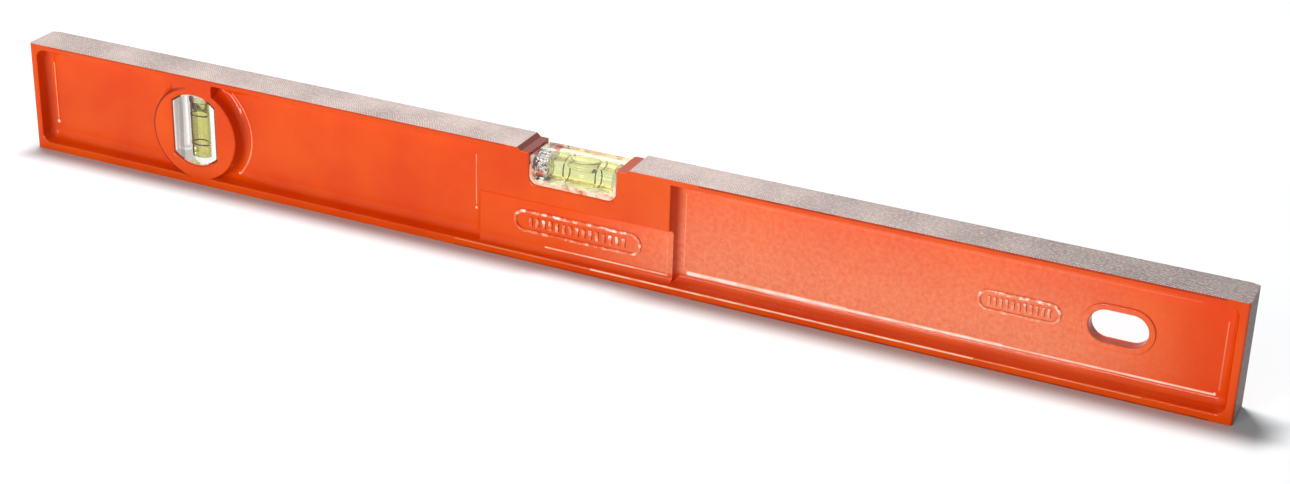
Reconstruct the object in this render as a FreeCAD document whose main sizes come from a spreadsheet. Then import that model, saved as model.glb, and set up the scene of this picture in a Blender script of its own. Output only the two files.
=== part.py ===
import FreeCAD, Part
import math
import os

import Sketcher

# A cast spirit level with a plumb vial near its left end and a block vial in the middle of its top.
# X runs along the level, the front is at -Y, and Z = 0 is the milled base.

doc = FreeCAD.newDocument("spirit_level")

# Driving sizes, in millimetres and degrees.
driving_sizes = (
    # the casting
    ("level_length", 600.0),
    ("level_height", 55.5),
    ("level_width", 20.0),
    ("web_thickness", 5.0),
    ("end_wall", 3.7),
    ("base_rail", 3.8),
    ("top_rail", 2.7),
    ("wall_draft", 10.0),
    ("panel_corner_radius", 4.5),
    ("foot_radius", 4.0),
    ("rim_radius", 0.8),
    ("front_corner_radius", 1.6),
    ("end_bevel_length", 3.5),
    ("end_bevel_depth", 1.2),
    # the thick middle that holds the centre vial
    ("boss_length", 96.0),
    ("boss_step_drop", 25.0),
    ("pad_depth", 4.0),
    ("pad_foot_radius", 3.2),
    # the disc that holds the plumb vial
    ("disc_from_end", 96.0),
    ("disc_drop", 1.55),
    ("disc_radius", 23.5),
    ("disc_foot_overlap", 0.1),
    ("arc_ease", 1.05),
    ("disc_neck_width", 22.0),
    ("disc_neck_round", 3.0),
    ("window_rise", 1.8),
    ("window_radius", 18.1),
    ("window_width", 24.0),
    ("opening_edge_radius", 1.5),
    # the notch for the centre vial
    ("notch_length", 43.0),
    ("notch_depth", 16.5),
    ("notch_corner", 4.0),
    ("mouth_length", 56.0),
    ("mouth_floor_length", 52.0),
    ("mouth_depth", 1.7),
    # the hanging slot
    ("slot_from_end", 52.0),
    ("slot_rise", 0.65),
    ("slot_length", 25.3),
    ("slot_opening", 14.7),
    ("slot_bead_width", 3.0),
    ("slot_bead_rise", 0.8),
    ("slot_bead_round", 0.7),
    # the raised frames for a name
    ("small_frame_from_end", 94.3),
    ("small_frame_rise", 0.55),
    ("small_frame_length", 36.6),
    ("small_frame_breadth", 10.1),
    ("large_frame_shift", 1.0),
    ("large_frame_rise", 1.15),
    ("large_frame_length", 64.5),
    ("large_frame_breadth", 11.2),
    ("frame_bead_width", 1.5),
    ("frame_bead_rise", 0.8),
    ("frame_bead_round", 0.5),
    # both vials
    ("block_thickness", 18.6),
    ("bore_diameter", 10.5),
    ("barrel_rise", 0.15),
    ("ring_width", 0.7),
    ("ring_depth", 0.3),
    ("plug_diameter", 11.3),
    ("glue_line", 0.05),
    ("spirit_gap", 0.05),
    ("bubble_gap", 0.3),
    # the centre vial
    ("centre_block_height", 12.7),
    ("centre_block_gap", 0.3),
    ("centre_bed", 0.8),
    ("centre_cavity_length", 32.0),
    ("centre_cavity_shift", 2.0),
    ("centre_plug_setback", 1.2),
    ("centre_ring_spacing", 16.0),
    ("centre_bubble_length", 14.6),
    ("centre_bubble_width", 8.4),
    ("centre_bubble_depth", 4.2),
    # the plumb vial
    ("plumb_block_gap", 0.15),
    ("plumb_bed", 0.6),
    ("plumb_bed_width", 14.0),
    ("plumb_cavity_length", 28.0),
    ("plumb_cavity_drop", 0.9),
    ("plumb_ring_spacing", 15.0),
    ("plumb_plug_length", 3.3),
    ("plumb_bubble_length", 4.4),
    ("meniscus_depth", 0.9),
)

sheet = doc.addObject("Spreadsheet::Sheet", "sizes")
for row, (alias, value) in enumerate(driving_sizes, start=1):
    sheet.set("A%d" % row, alias)
    sheet.set("B%d" % row, str(value))
    sheet.setAlias("B%d" % row, alias)
doc.recompute()


def size(expression):
    """The number that an expression of sheet values gives."""
    return float(sheet.evalExpression(expression))


def new_body(name):
    body = doc.addObject("PartDesign::Body", name)
    body.Label = name
    return body


def origin_plane(body, role):
    return [feature for feature in body.Origin.OriginFeatures if feature.Role == role][0]


def outline(body, name, role, shift, *loops):
    """A sketch of closed loops on an origin plane that is moved by shift, a triple of expressions.

    A loop is a list of points, or such a list and its arcs. Each point is a pair of expressions.
    For the edge that leaves a point, arcs gives the centre and the way the arc turns.
    """
    sketch = body.newObject("Sketcher::SketchObject", name)
    sketch.AttachmentSupport = [(origin_plane(body, role), "")]
    sketch.MapMode = "FlatFace"
    for axis, expression in zip("xyz", shift):
        if expression:
            sketch.setExpression("AttachmentOffset.Base." + axis, expression)
    for loop in loops:
        points, arcs = loop if isinstance(loop, tuple) else (loop, {})
        draw_loop(sketch, points, arcs)
    return sketch


def pin_point(sketch, geometry, position, expressions):
    for kind, expression in zip(("DistanceX", "DistanceY"), expressions):
        if expression is not None:
            pin = Sketcher.Constraint(kind, geometry, position, size(expression))
            number = sketch.addConstraint(pin)
            sketch.setExpression("Constraints[%d]" % number, expression)


def draw_loop(sketch, points, arcs):
    places = [FreeCAD.Vector(size(x), size(y), 0) for x, y in points]
    ends = []
    for index, start in enumerate(places):
        finish = places[(index + 1) % len(places)]
        if index not in arcs:
            geometry = sketch.addGeometry(Part.LineSegment(start, finish), False)
            ends.append((geometry, 1, 2))
            continue
        centre_x, centre_y, turn = arcs[index]
        centre = FreeCAD.Vector(size(centre_x), size(centre_y), 0)
        first, last = (start, finish) if turn == "left" else (finish, start)
        circle = Part.Circle(centre, FreeCAD.Vector(0, 0, 1), (start - centre).Length)
        angles = [math.atan2(place.y - centre.y, place.x - centre.x) for place in (first, last)]
        geometry = sketch.addGeometry(Part.ArcOfCircle(circle, *angles), False)
        # The ends fix the arc but for one coordinate of its centre.
        chord = finish - start
        upright = abs(chord.y) >= abs(chord.x)
        pin_point(sketch, geometry, 3, (centre_x if upright else None, None if upright else centre_y))
        ends.append((geometry, 1, 2) if turn == "left" else (geometry, 2, 1))
    for index, (geometry, begin, end) in enumerate(ends):
        following, following_begin, _ = ends[(index + 1) % len(ends)]
        sketch.addConstraint(Sketcher.Constraint("Coincident", geometry, end, following, following_begin))
        pin_point(sketch, geometry, begin, points[index])


def rectangle(left, bottom, right, top):
    return [(left, bottom), (right, bottom), (right, top), (left, top)]


def stadium(centre_x, centre_y, length, breadth):
    """A bar with round ends: its points and arcs."""
    first = "%s - (%s)/2 + (%s)/2" % (centre_x, length, breadth)
    last = "%s + (%s)/2 - (%s)/2" % (centre_x, length, breadth)
    low = "%s - (%s)/2" % (centre_y, breadth)
    high = "%s + (%s)/2" % (centre_y, breadth)
    points = [(first, low), (last, low), (last, high), (first, high)]
    return points, {1: (last, centre_y, "left"), 3: (first, centre_y, "left")}


def flatted_circle(centre_x, centre_y, radius, width):
    """A circle with two upright flats: its points and arcs."""
    rise = "sqrt((%s)^2 - (%s)^2/4)" % (radius, width)
    left = "%s - (%s)/2" % (centre_x, width)
    right = "%s + (%s)/2" % (centre_x, width)
    low = "%s - %s" % (centre_y, rise)
    high = "%s + %s" % (centre_y, rise)
    points = [(left, low), (right, low), (right, high), (left, high)]
    return points, {0: (centre_x, centre_y, "left"), 2: (centre_x, centre_y, "left")}


def finish(feature):
    doc.recompute()
    if "Invalid" in feature.State or feature.Shape.isNull():
        raise RuntimeError(feature.Name + " could not be made")
    return feature


def pad(body, name, sketch, length, symmetric=False, taper=None, inward=False):
    feature = body.newObject("PartDesign::Pad", name)
    feature.Profile = sketch
    feature.setExpression("Length", length)
    feature.Reversed = inward
    if symmetric:
        feature.SideType = "Symmetric"
    if taper:
        feature.setExpression("TaperAngle", taper)
    return finish(feature)


def pocket(body, name, sketch, length, symmetric=False, taper=None):
    before = body.Shape.Volume
    feature = body.newObject("PartDesign::Pocket", name)
    feature.Profile = sketch
    feature.setExpression("Length", length)
    if symmetric:
        feature.SideType = "Symmetric"
    if taper:
        feature.setExpression("TaperAngle", taper)
    finish(feature)
    if not body.Shape.Volume < before:
        raise RuntimeError(name + " cuts nothing")
    return feature


def turned(body, kind, name, sketch, axis):
    feature = body.newObject("PartDesign::" + kind, name)
    feature.Profile = sketch
    feature.ReferenceAxis = (sketch, [axis])
    feature.Angle = 360.0
    return finish(feature)


def edges_where(feature, test):
    """Names of the edges whose ends and middle all pass the test."""
    names = []
    for number, edge in enumerate(feature.Shape.Edges, start=1):
        span = edge.LastParameter - edge.FirstParameter
        places = [edge.valueAt(edge.FirstParameter + share*span) for share in (0.0, 0.5, 1.0)]
        if all(test(place) for place in places):
            names.append("Edge%d" % number)
    return names


def fillet(body, name, base, radius, test):
    feature = body.newObject("PartDesign::Fillet", name)
    feature.Base = (base, edges_where(base, test))
    feature.setExpression("Radius", radius)
    return finish(feature)


closeness = 0.001


def near(first, second):
    return abs(first - second) < closeness


# Places that several pieces share.
web_recess = "((sizes.level_width - sizes.web_thickness)/2)"
disc_x = "(-sizes.level_length/2 + sizes.disc_from_end)"
slot_x = "(sizes.level_length/2 - sizes.slot_from_end)"
mid_height = "(sizes.level_height/2)"
disc_height = "(%s - sizes.disc_drop)" % mid_height
slot_height = "(%s + sizes.slot_rise)" % mid_height
boss_step = "(sizes.level_height - sizes.boss_step_drop)"
window_height = "(%s + sizes.window_rise)" % disc_height
notch_floor = "(sizes.level_height - sizes.notch_depth)"
mouth_floor = "(sizes.level_height - sizes.mouth_depth)"
bore_radius = "(sizes.bore_diameter/2)"
bore_end_radius = "(sizes.bore_diameter/2 - sizes.barrel_rise)"
centre_axis = "(%s + sizes.centre_bed + sizes.centre_block_height/2)" % notch_floor
centre_frame = ("sizes.centre_cavity_shift", centre_axis, None)
plumb_frame = (disc_x, window_height + " - sizes.plumb_cavity_drop", None)
front = -size("sizes.level_width/2")
web_face = -size("sizes.web_thickness/2")


def build_casting():
    body = new_body("body_casting")

    # The front half of the thickness is shaped first and then mirrored.
    pad(body, "half_blank", outline(
        body, "blank_outline", "XZ_Plane", (None, None, None),
        rectangle("-sizes.level_length/2", "0", "sizes.level_length/2", "sizes.level_height")),
        "sizes.level_width/2")
    cut_panels(body)
    add_disc(body)
    add_slot_bead(body)
    cut_openings(body)
    mirror = body.newObject("PartDesign::Mirrored", "back_half")
    mirror.TransformMode = "Whole shape"
    mirror.MirrorPlane = (origin_plane(body, "XZ_Plane"), [""])
    body.Tip = mirror
    finish(mirror)
    fillet(body, "front_corners", mirror, "sizes.front_corner_radius", lambda place: (
        near(place.y, front) and near(abs(place.x), size("sizes.level_length/2"))))
    bevel_back_corners(body)
    add_name_frames(body)
    return body


def recess(body, name, left, right, top, depth):
    """A recess in the front face between the base rail and top, with drafted walls."""
    before = body.Shape.Volume
    run = "%s*tan(sizes.wall_draft)" % depth
    sides = (
        ("Xmin", left), ("X2min", "%s + %s" % (left, run)),
        ("Xmax", right), ("X2max", "%s - %s" % (right, run)),
        ("Zmin", "sizes.base_rail"), ("Z2min", "sizes.base_rail + " + run),
        ("Zmax", top), ("Z2max", "%s - %s" % (top, run)),
        ("Ymin", "-sizes.level_width/2"), ("Ymax", "-sizes.level_width/2 + " + depth),
    )
    wedge = body.newObject("PartDesign::SubtractiveWedge", name)
    for side, expression in sides:
        setattr(wedge, side, size(expression))
        wedge.setExpression(side, expression)
    finish(wedge)
    if not body.Shape.Volume < before:
        raise RuntimeError(name + " cuts nothing")
    return wedge


def cut_panels(body):
    """The shallow lower half of the middle boss, and the two long panels beside it."""
    boss_end = "sizes.boss_length/2"
    panel_end = "(sizes.level_length/2 - sizes.end_wall)"
    panel_top = "(sizes.level_height - sizes.top_rail)"
    overrun = "(%s + 3*sizes.pad_depth)" % boss_end
    pad_recess = recess(body, "pad_recess", "-" + overrun, overrun, boss_step, "sizes.pad_depth")
    pad_floor = front + size("sizes.pad_depth")
    fillet(body, "pad_feet", pad_recess, "sizes.pad_foot_radius", lambda place: near(place.y, pad_floor))
    recess(body, "left_panel", "-" + panel_end, "-" + boss_end, panel_top, web_recess)
    panels = recess(body, "right_panel", boss_end, panel_end, panel_top, web_recess)

    # The outer corners of both panels are rounded, along the lines where two drafted walls meet.
    outer = size(panel_end)
    low = size("sizes.base_rail")
    high = size(panel_top)
    slope = size("tan(sizes.wall_draft)")

    def on_corner(place):
        lean = (place.y - front)*slope
        beside = near(abs(place.x), outer - lean)
        return beside and (near(place.z, low + lean) or near(place.z, high - lean))

    corners = fillet(body, "panel_corners", panels, "sizes.panel_corner_radius", on_corner)
    feet = fillet(body, "panel_feet", corners, "sizes.foot_radius", lambda place: near(place.y, web_face))

    # The rims are rounded by the casting and its thick paint.
    half_length = size("sizes.level_length/2")
    height = size("sizes.level_height")
    fillet(body, "panel_rims", feet, "sizes.rim_radius", lambda place: (
        near(place.y, front) and not near(abs(place.x), half_length)
        and not near(place.z, 0) and not near(place.z, height)))


def add_disc(body):
    """The disc boss around the plumb vial: a rounded rim, a drafted wall and a flared foot."""
    half_turn = "tan((90 - sizes.wall_draft)/2)"
    rim_run = "sizes.rim_radius*" + half_turn
    foot_run = "sizes.foot_radius*" + half_turn
    foot_corner = "(sizes.disc_radius + %s*tan(sizes.wall_draft))" % web_recess
    face = "-sizes.level_width/2"
    web = "(sizes.disc_foot_overlap - sizes.web_thickness/2)"
    rim_flat = "sizes.disc_radius - " + rim_run
    foot_flat = "%s + %s" % (foot_corner, foot_run)
    points = [
        ("0", face),
        (rim_flat, face),
        ("sizes.disc_radius + %s*sin(sizes.wall_draft)" % rim_run,
         "%s + %s*cos(sizes.wall_draft)" % (face, rim_run)),
        ("%s - %s*sin(sizes.wall_draft)" % (foot_corner, foot_run),
         "%s - %s*cos(sizes.wall_draft)" % (web, foot_run)),
        (foot_flat, web),
        (foot_flat, "0"),
        ("0", "0"),
    ]
    # Both arcs are a little flatter than tangent ones, and the foot ends just under the web's face, so that
    # the surfaces cross cleanly.
    arcs = {1: (rim_flat, face + " + sizes.arc_ease*sizes.rim_radius", "left"),
            3: (foot_flat, web + " - sizes.arc_ease*sizes.foot_radius", "right")}
    turned(body, "Revolution", "disc", outline(
        body, "disc_profile", "XY_Plane", (disc_x, None, disc_height),
        (points, arcs)), "V_Axis")

    # The disc runs into the top rail, and its foot is milled off level with the base and the top.
    half_neck = "sizes.disc_neck_width/2"
    rail_middle = "(sizes.level_height - sizes.top_rail/2)"
    shoulder = "(%s - sizes.disc_neck_round)" % rail_middle
    flare = "(%s + sizes.disc_neck_round)" % half_neck
    right_side = [(half_neck, disc_height), (half_neck, shoulder), (flare, rail_middle)]
    left_side = [("-" + x, z) for x, z in reversed(right_side)]
    pad(body, "disc_neck", outline(
        body, "neck_outline", "XZ_Plane", (disc_x, None, "sizes.level_width/2"),
        (right_side + left_side, {1: (flare, shoulder, "right"), 3: ("-" + flare, shoulder, "right")})),
        "sizes.level_width/2", inward=True)
    left = "%s - 2*sizes.disc_radius" % disc_x
    right = "%s + 2*sizes.disc_radius" % disc_x
    pocket(body, "milled_faces", outline(
        body, "milling_outline", "XZ_Plane", (None, None, None),
        rectangle(left, "-sizes.disc_radius", right, "0"),
        rectangle(left, "sizes.level_height", right, "sizes.level_height + sizes.disc_radius")),
        "sizes.level_width*2", symmetric=True)


def add_slot_bead(body):
    """The low bead that stiffens the web around the hanging slot."""
    bead = pad(body, "slot_bead", outline(
        body, "slot_bead_outline", "XZ_Plane", (None, None, "sizes.web_thickness/2"),
        stadium(slot_x, slot_height, "sizes.slot_length + 2*sizes.slot_bead_width",
                "sizes.slot_opening + 2*sizes.slot_bead_width")),
        "sizes.slot_bead_rise")
    bead_face = web_face - size("sizes.slot_bead_rise")
    fillet(body, "slot_bead_round", bead, "sizes.slot_bead_round",
           lambda place: near(place.y, bead_face))


def cut_openings(body):
    """The openings that run through from front to back, with their rounded rims."""
    window = flatted_circle(disc_x, window_height, "sizes.window_radius", "sizes.window_width")
    pocket(body, "plumb_window", outline(
        body, "window_outline", "XZ_Plane", (None, None, None), window),
        "sizes.level_width", symmetric=True)
    notch = pocket(body, "centre_notch", outline(
        body, "notch_outline", "XZ_Plane", (None, None, None), notch_loop()),
        "sizes.level_width", symmetric=True)

    window_x = size(disc_x)
    window_z = size(window_height)
    window_reach = size("sizes.window_radius") + closeness
    notch_reach = size("sizes.notch_length/2") + closeness
    ledge = size(mouth_floor) + closeness

    def on_opening(place):
        in_window = math.hypot(place.x - window_x, place.z - window_z) < window_reach
        in_notch = abs(place.x) < notch_reach and place.z < ledge
        above_pad = place.z > size(boss_step + " + 2*sizes.rim_radius")
        return near(place.y, front) and (in_window or (in_notch and above_pad))

    fillet(body, "opening_rims", notch, "sizes.opening_edge_radius", on_opening)
    slot = pocket(body, "hanging_slot", outline(
        body, "slot_outline", "XZ_Plane", (None, None, None),
        stadium(slot_x, slot_height, "sizes.slot_length", "sizes.slot_opening")),
        "sizes.level_width", symmetric=True)
    bead_face = web_face - size("sizes.slot_bead_rise")
    hole_x = size(slot_x)
    slot_z = size(slot_height)
    reach = size("sizes.slot_length/2") + closeness
    slot_rise = size("sizes.slot_opening/2") + closeness
    fillet(body, "slot_rims", slot, "sizes.rim_radius", lambda place: (
        near(place.y, bead_face) and abs(place.x - hole_x) < reach
        and abs(place.z - slot_z) < slot_rise))


def notch_loop():
    """The notch for the centre vial, with its wider sloping mouth: its points and arcs."""
    half = "sizes.notch_length/2"
    mouth = "sizes.mouth_length/2"
    ledge = "sizes.mouth_floor_length/2"
    corner = "sizes.notch_corner"
    rise = "sizes.level_height + sizes.mouth_depth"
    bend = notch_floor + " + " + corner
    right_side = [(half + " - " + corner, notch_floor), (half, bend), (half, mouth_floor),
                  (ledge, mouth_floor), (mouth, "sizes.level_height"), (mouth, rise)]
    left_side = [("-(%s)" % x, z) for x, z in reversed(right_side)]
    return right_side + left_side, {
        0: (half + " - " + corner, bend, "left"),
        10: ("-(%s - %s)" % (half, corner), bend, "left")}


def bevel_back_corners(body):
    """The two upright corners at the back are cut off at a slant."""
    end = "sizes.level_length/2"
    back = "sizes.level_width/2"
    corners = []
    for sign in ("-", ""):
        tip = sign + end
        inner = sign + "(%s - sizes.end_bevel_length)" % end
        corners.append([(inner, back), (tip, back), (tip, back + " - sizes.end_bevel_depth")])
    pocket(body, "back_bevels", outline(
        body, "bevel_outline", "XY_Plane", (None, None, None), *corners),
        "sizes.level_height*3", symmetric=True)


def add_name_frames(body):
    """The two raised frames on the front, one on the right panel and one on the middle pad."""
    frames = (
        ("small", "(sizes.level_length/2 - sizes.small_frame_from_end)",
         "(%s + sizes.small_frame_rise)" % mid_height, "sizes.web_thickness/2"),
        ("large", "sizes.large_frame_shift",
         "((sizes.base_rail + %s)/2 + sizes.large_frame_rise)" % boss_step,
         "(sizes.level_width/2 - sizes.pad_depth)"),
    )
    for name, centre, height, ground in frames:
        length = "sizes.%s_frame_length" % name
        breadth = "sizes.%s_frame_breadth" % name
        bead = pad(body, name + "_frame", outline(
            body, name + "_frame_outline", "XZ_Plane", (None, None, ground),
            stadium(centre, height, length, breadth),
            stadium(centre, height, length + " - 2*sizes.frame_bead_width",
                    breadth + " - 2*sizes.frame_bead_width")),
            "sizes.frame_bead_rise")
        crest = -size("%s + sizes.frame_bead_rise" % ground)
        middle = size(centre)
        reach = size(length)/2 + closeness
        fillet(body, name + "_frame_round", bead, "sizes.frame_bead_round",
               lambda place: near(place.y, crest) and abs(place.x - middle) < reach)


def barrel_loop(length, start="-(%s)/2", end="(%s)/2", gap=None, stem=None):
    """Half the section of a barrel-shaped bore, or of what fills it: its points and arcs."""
    shrink = " - " + gap if gap else ""
    middle = bore_radius + shrink
    edge = bore_end_radius + shrink
    near_end = start % length
    far_end = end % length
    curve = "((%s)^2/8/sizes.barrel_rise + sizes.barrel_rise/2)" % length
    points = [(near_end, "0"), (far_end, "0"), (far_end, edge), (near_end, edge)]
    arcs = {2: ("0", "%s - %s" % (middle, curve), "left")}
    if stem:
        # The wider mouth that takes the plug.
        points[0] = (stem, "0")
        points += [(near_end, "sizes.plug_diameter/2"), (stem, "sizes.plug_diameter/2")]
    return points, arcs


def ring_loop(centre, inner, outer, width):
    return rectangle("%s - (%s)/2" % (centre, width), inner, "%s + (%s)/2" % (centre, width), outer)


def turn_over(loop):
    """The same loop with its two axes exchanged, for a vial that stands upright."""
    points, arcs = loop if isinstance(loop, tuple) else (loop, {})
    other = {"left": "right", "right": "left"}
    return ([(y, x) for x, y in points],
            {index: (y, x, other[turn]) for index, (x, y, turn) in arcs.items()})


def build_centre_vial():
    """The clear block in the notch, bored from its left end, and what it holds."""
    half = "(sizes.notch_length/2 - sizes.centre_block_gap)"
    bottom = "(%s + sizes.centre_bed)" % notch_floor
    top = "(%s + sizes.centre_block_height)" % bottom
    corner = "sizes.notch_corner"
    inner = "(%s - %s)" % (half, corner)
    points = [("-" + inner, bottom), (inner, bottom), (half, "%s + %s" % (bottom, corner)),
              (half, top), ("-" + half, top), ("-" + half, "%s + %s" % (bottom, corner))]
    arcs = {1: (inner, "%s + %s" % (bottom, corner), "left"),
            5: ("-" + inner, "%s + %s" % (bottom, corner), "left")}
    stem = "(-%s - sizes.centre_cavity_shift)" % half
    spacing = "sizes.centre_ring_spacing/2"
    length = "sizes.centre_cavity_length"

    block = new_body("centre_vial_block")
    pad(block, "block", outline(block, "block_outline", "XZ_Plane", (None, None, None), (points, arcs)),
        "sizes.block_thickness", symmetric=True)
    turned(block, "Groove", "bore", outline(
        block, "bore_profile", "XZ_Plane", centre_frame, barrel_loop(length, stem=stem)), "H_Axis")
    turned(block, "Groove", "ring_grooves", outline(
        block, "groove_profile", "XZ_Plane", centre_frame,
        *[ring_loop(sign + spacing, bore_end_radius, bore_radius + " + sizes.ring_depth",
                    "sizes.ring_width") for sign in ("-", "")]), "H_Axis")

    for name, sign in (("centre_vial_ring_left", "-"), ("centre_vial_ring_right", "")):
        ring = new_body(name)
        turned(ring, "Revolution", "band", outline(
            ring, "band_profile", "XZ_Plane", centre_frame,
            ring_loop(sign + spacing, bore_radius, bore_radius + " + sizes.ring_depth - sizes.glue_line",
                      "sizes.ring_width - 2*sizes.glue_line")), "H_Axis")

    plug = new_body("centre_vial_plug")
    turned(plug, "Revolution", "disc", outline(
        plug, "disc_profile", "XZ_Plane", centre_frame,
        rectangle(stem + " + sizes.centre_plug_setback", "0", "-%s/2" % length,
                  "sizes.plug_diameter/2 - sizes.glue_line")), "H_Axis")

    bed = new_body("centre_vial_bedding")
    pad(bed, "strip", outline(
        bed, "strip_outline", "XZ_Plane", (None, None, None),
        rectangle("-" + inner, notch_floor, inner, bottom)),
        "sizes.block_thickness", symmetric=True)

    barrel = new_body("centre_vial_liquid_blank")
    turned(barrel, "Revolution", "barrel", outline(
        barrel, "barrel_profile", "XZ_Plane", centre_frame,
        barrel_loop(length, "-(%s)/2 + sizes.spirit_gap", "(%s)/2 - sizes.spirit_gap",
                    gap="sizes.spirit_gap")), "H_Axis")
    return build_centre_bubble(barrel)


def build_centre_bubble(barrel):
    """The bubble: flat-topped against the bore, round below, and the spirit that it displaces."""
    # The form is turned from an arc that passes through both ends of the bubble and its lowest point. Its
    # axis is high enough above the bore for the bubble to get its width.
    reach = "(%s - sizes.bubble_gap)" % bore_radius
    bottom = "(%s - sizes.centre_bubble_depth)" % reach
    widest = "sqrt(%s^2 - sizes.centre_bubble_width^2/4)" % reach
    axis = "((%s^2 - %s^2)/2/(%s - %s))" % (reach, bottom, widest, bottom)
    arc = "((sizes.centre_bubble_length^2/4 + sizes.centre_bubble_depth^2)/2/sizes.centre_bubble_depth)"
    rise = "(%s + %s - %s)" % (bottom, arc, axis)
    frame = ("sizes.centre_cavity_shift", "%s + %s" % (centre_axis, axis), None)
    forms = []
    for name, growth in (("bubble_form", "0"), ("spirit_hollow", "2*sizes.spirit_gap")):
        half = "sqrt((%s + %s)^2 - %s^2)" % (arc, growth, rise)
        form = new_body(name)
        turned(form, "Revolution", name + "_turn", outline(
            form, name + "_profile", "XZ_Plane", frame,
            ([("-" + half, "0"), (half, "0")], {0: ("0", rise, "left")})), "H_Axis")
        forms.append(form)
    bore = doc.addObject("Part::Cylinder", "bubble_bore")
    bore.setExpression("Radius", reach)
    bore.setExpression("Height", "sizes.centre_cavity_length")
    bore.Placement = FreeCAD.Placement(FreeCAD.Vector(), FreeCAD.Rotation(FreeCAD.Vector(0, 1, 0), 90))
    bore.setExpression("Placement.Base.x", "sizes.centre_cavity_shift - sizes.centre_cavity_length/2")
    bore.setExpression("Placement.Base.z", centre_axis)
    bubble = doc.addObject("Part::MultiCommon", "centre_vial_bubble")
    bubble.Shapes = [forms[0], bore]
    spirit = doc.addObject("Part::Cut", "centre_vial_spirit")
    spirit.Base = barrel
    spirit.Tool = forms[1]
    finish(bubble)
    finish(spirit)
    return bubble, spirit


def build_plumb_vial():
    """The clear block in the round window, bored upright from its top, and what it holds."""
    block_radius = "(sizes.window_radius - sizes.plumb_bed)"
    length = "sizes.plumb_cavity_length"
    spacing = "sizes.plumb_ring_spacing/2"
    plug_top = "(%s/2 + sizes.plumb_plug_length)" % length

    block = new_body("plumb_vial_block")
    pad(block, "block", outline(
        block, "block_outline", "XZ_Plane", (None, None, None),
        flatted_circle(disc_x, window_height, block_radius,
                       "(sizes.window_width - 2*sizes.plumb_block_gap)")),
        "sizes.block_thickness", symmetric=True)
    turned(block, "Groove", "bore", outline(
        block, "bore_profile", "XZ_Plane", plumb_frame, turn_over(barrel_loop(length))), "V_Axis")
    turned(block, "Groove", "plug_mouth", outline(
        block, "mouth_profile", "XZ_Plane", plumb_frame,
        rectangle("0", length + "/2", "sizes.plug_diameter/2", plug_top + " + sizes.plumb_plug_length")),
        "V_Axis")
    turned(block, "Groove", "ring_grooves", outline(
        block, "groove_profile", "XZ_Plane", plumb_frame,
        *[turn_over(ring_loop(sign + spacing, bore_end_radius, bore_radius + " + sizes.ring_depth",
                              "sizes.ring_width")) for sign in ("-", "")]), "V_Axis")

    for name, sign in (("plumb_vial_ring_lower", "-"), ("plumb_vial_ring_upper", "")):
        ring = new_body(name)
        turned(ring, "Revolution", "band", outline(
            ring, "band_profile", "XZ_Plane", plumb_frame, turn_over(ring_loop(
                sign + spacing, bore_radius, bore_radius + " + sizes.ring_depth - sizes.glue_line",
                "sizes.ring_width - 2*sizes.glue_line"))), "V_Axis")

    plug = new_body("plumb_vial_plug")
    turned(plug, "Revolution", "disc", outline(
        plug, "disc_profile", "XZ_Plane", plumb_frame,
        rectangle("0", length + "/2", "sizes.plug_diameter/2 - sizes.glue_line", plug_top)), "V_Axis")
    build_plumb_beddings(block_radius)
    build_plumb_liquid(length)


def build_plumb_beddings(block_radius):
    """Beds of cement above and below the block, curved between the window and the block."""
    half = "(sizes.plumb_bed_width/2)"
    outer = "(sizes.window_radius - sizes.glue_line)"
    inner = "(%s + sizes.glue_line)" % block_radius
    for name, sign in (("plumb_vial_bedding_lower", "-"), ("plumb_vial_bedding_upper", "+")):
        far = "%s %s sqrt(%s^2 - %s^2)" % (window_height, sign, outer, half)
        close = "%s %s sqrt(%s^2 - %s^2)" % (window_height, sign, inner, half)
        left = "%s - %s" % (disc_x, half)
        right = "%s + %s" % (disc_x, half)
        ways = ("left", "right") if sign == "-" else ("right", "left")
        arcs = {0: (disc_x, window_height, ways[0]), 2: (disc_x, window_height, ways[1])}
        bed = new_body(name)
        pad(bed, "bed", outline(
            bed, "bed_outline", "XZ_Plane", (None, None, None),
            ([(left, far), (right, far), (right, close), (left, close)], arcs)),
            "sizes.block_thickness", symmetric=True)


def build_plumb_liquid(length):
    """The spirit with its hollow surface, and the bubble that lies on it at the top of the bore."""
    bubble_radius = "(%s - sizes.bubble_gap)" % bore_end_radius
    bubble_top = "(%s/2 - sizes.bubble_gap)" % length
    level = "(%s - sizes.plumb_bubble_length)" % bubble_top
    bowl = "(%s^2/2/sizes.meniscus_depth + sizes.meniscus_depth/2)"
    bubble = new_body("plumb_vial_bubble")
    rim = "(%s + sizes.meniscus_depth)" % level
    turned(bubble, "Revolution", "bubble", outline(
        bubble, "bubble_profile", "XZ_Plane", plumb_frame,
        ([("0", level), (bubble_radius, rim), (bubble_radius, bubble_top), ("0", bubble_top)],
         {0: ("0", "%s + %s" % (level, bowl % bubble_radius), "left")})), "V_Axis")

    spirit_end = "(%s/2 - sizes.spirit_gap)" % length
    surface = "(%s - 2*sizes.spirit_gap)" % level
    edge = "(%s - sizes.spirit_gap)" % bore_end_radius
    brim = "(%s + sizes.meniscus_depth)" % surface
    spirit = new_body("plumb_vial_spirit")
    turned(spirit, "Revolution", "barrel", outline(
        spirit, "barrel_profile", "XZ_Plane", plumb_frame,
        turn_over(barrel_loop(length, "-(%s)/2 + sizes.spirit_gap", "(%s)/2 - sizes.spirit_gap",
                              gap="sizes.spirit_gap"))), "V_Axis")
    turned(spirit, "Groove", "surface", outline(
        spirit, "surface_profile", "XZ_Plane", plumb_frame,
        ([("0", surface), (edge, brim), (bore_radius, brim), (bore_radius, spirit_end + " + 1"),
          ("0", spirit_end + " + 1")],
         {0: ("0", "%s + %s" % (surface, bowl % edge), "left")})), "V_Axis")


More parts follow.
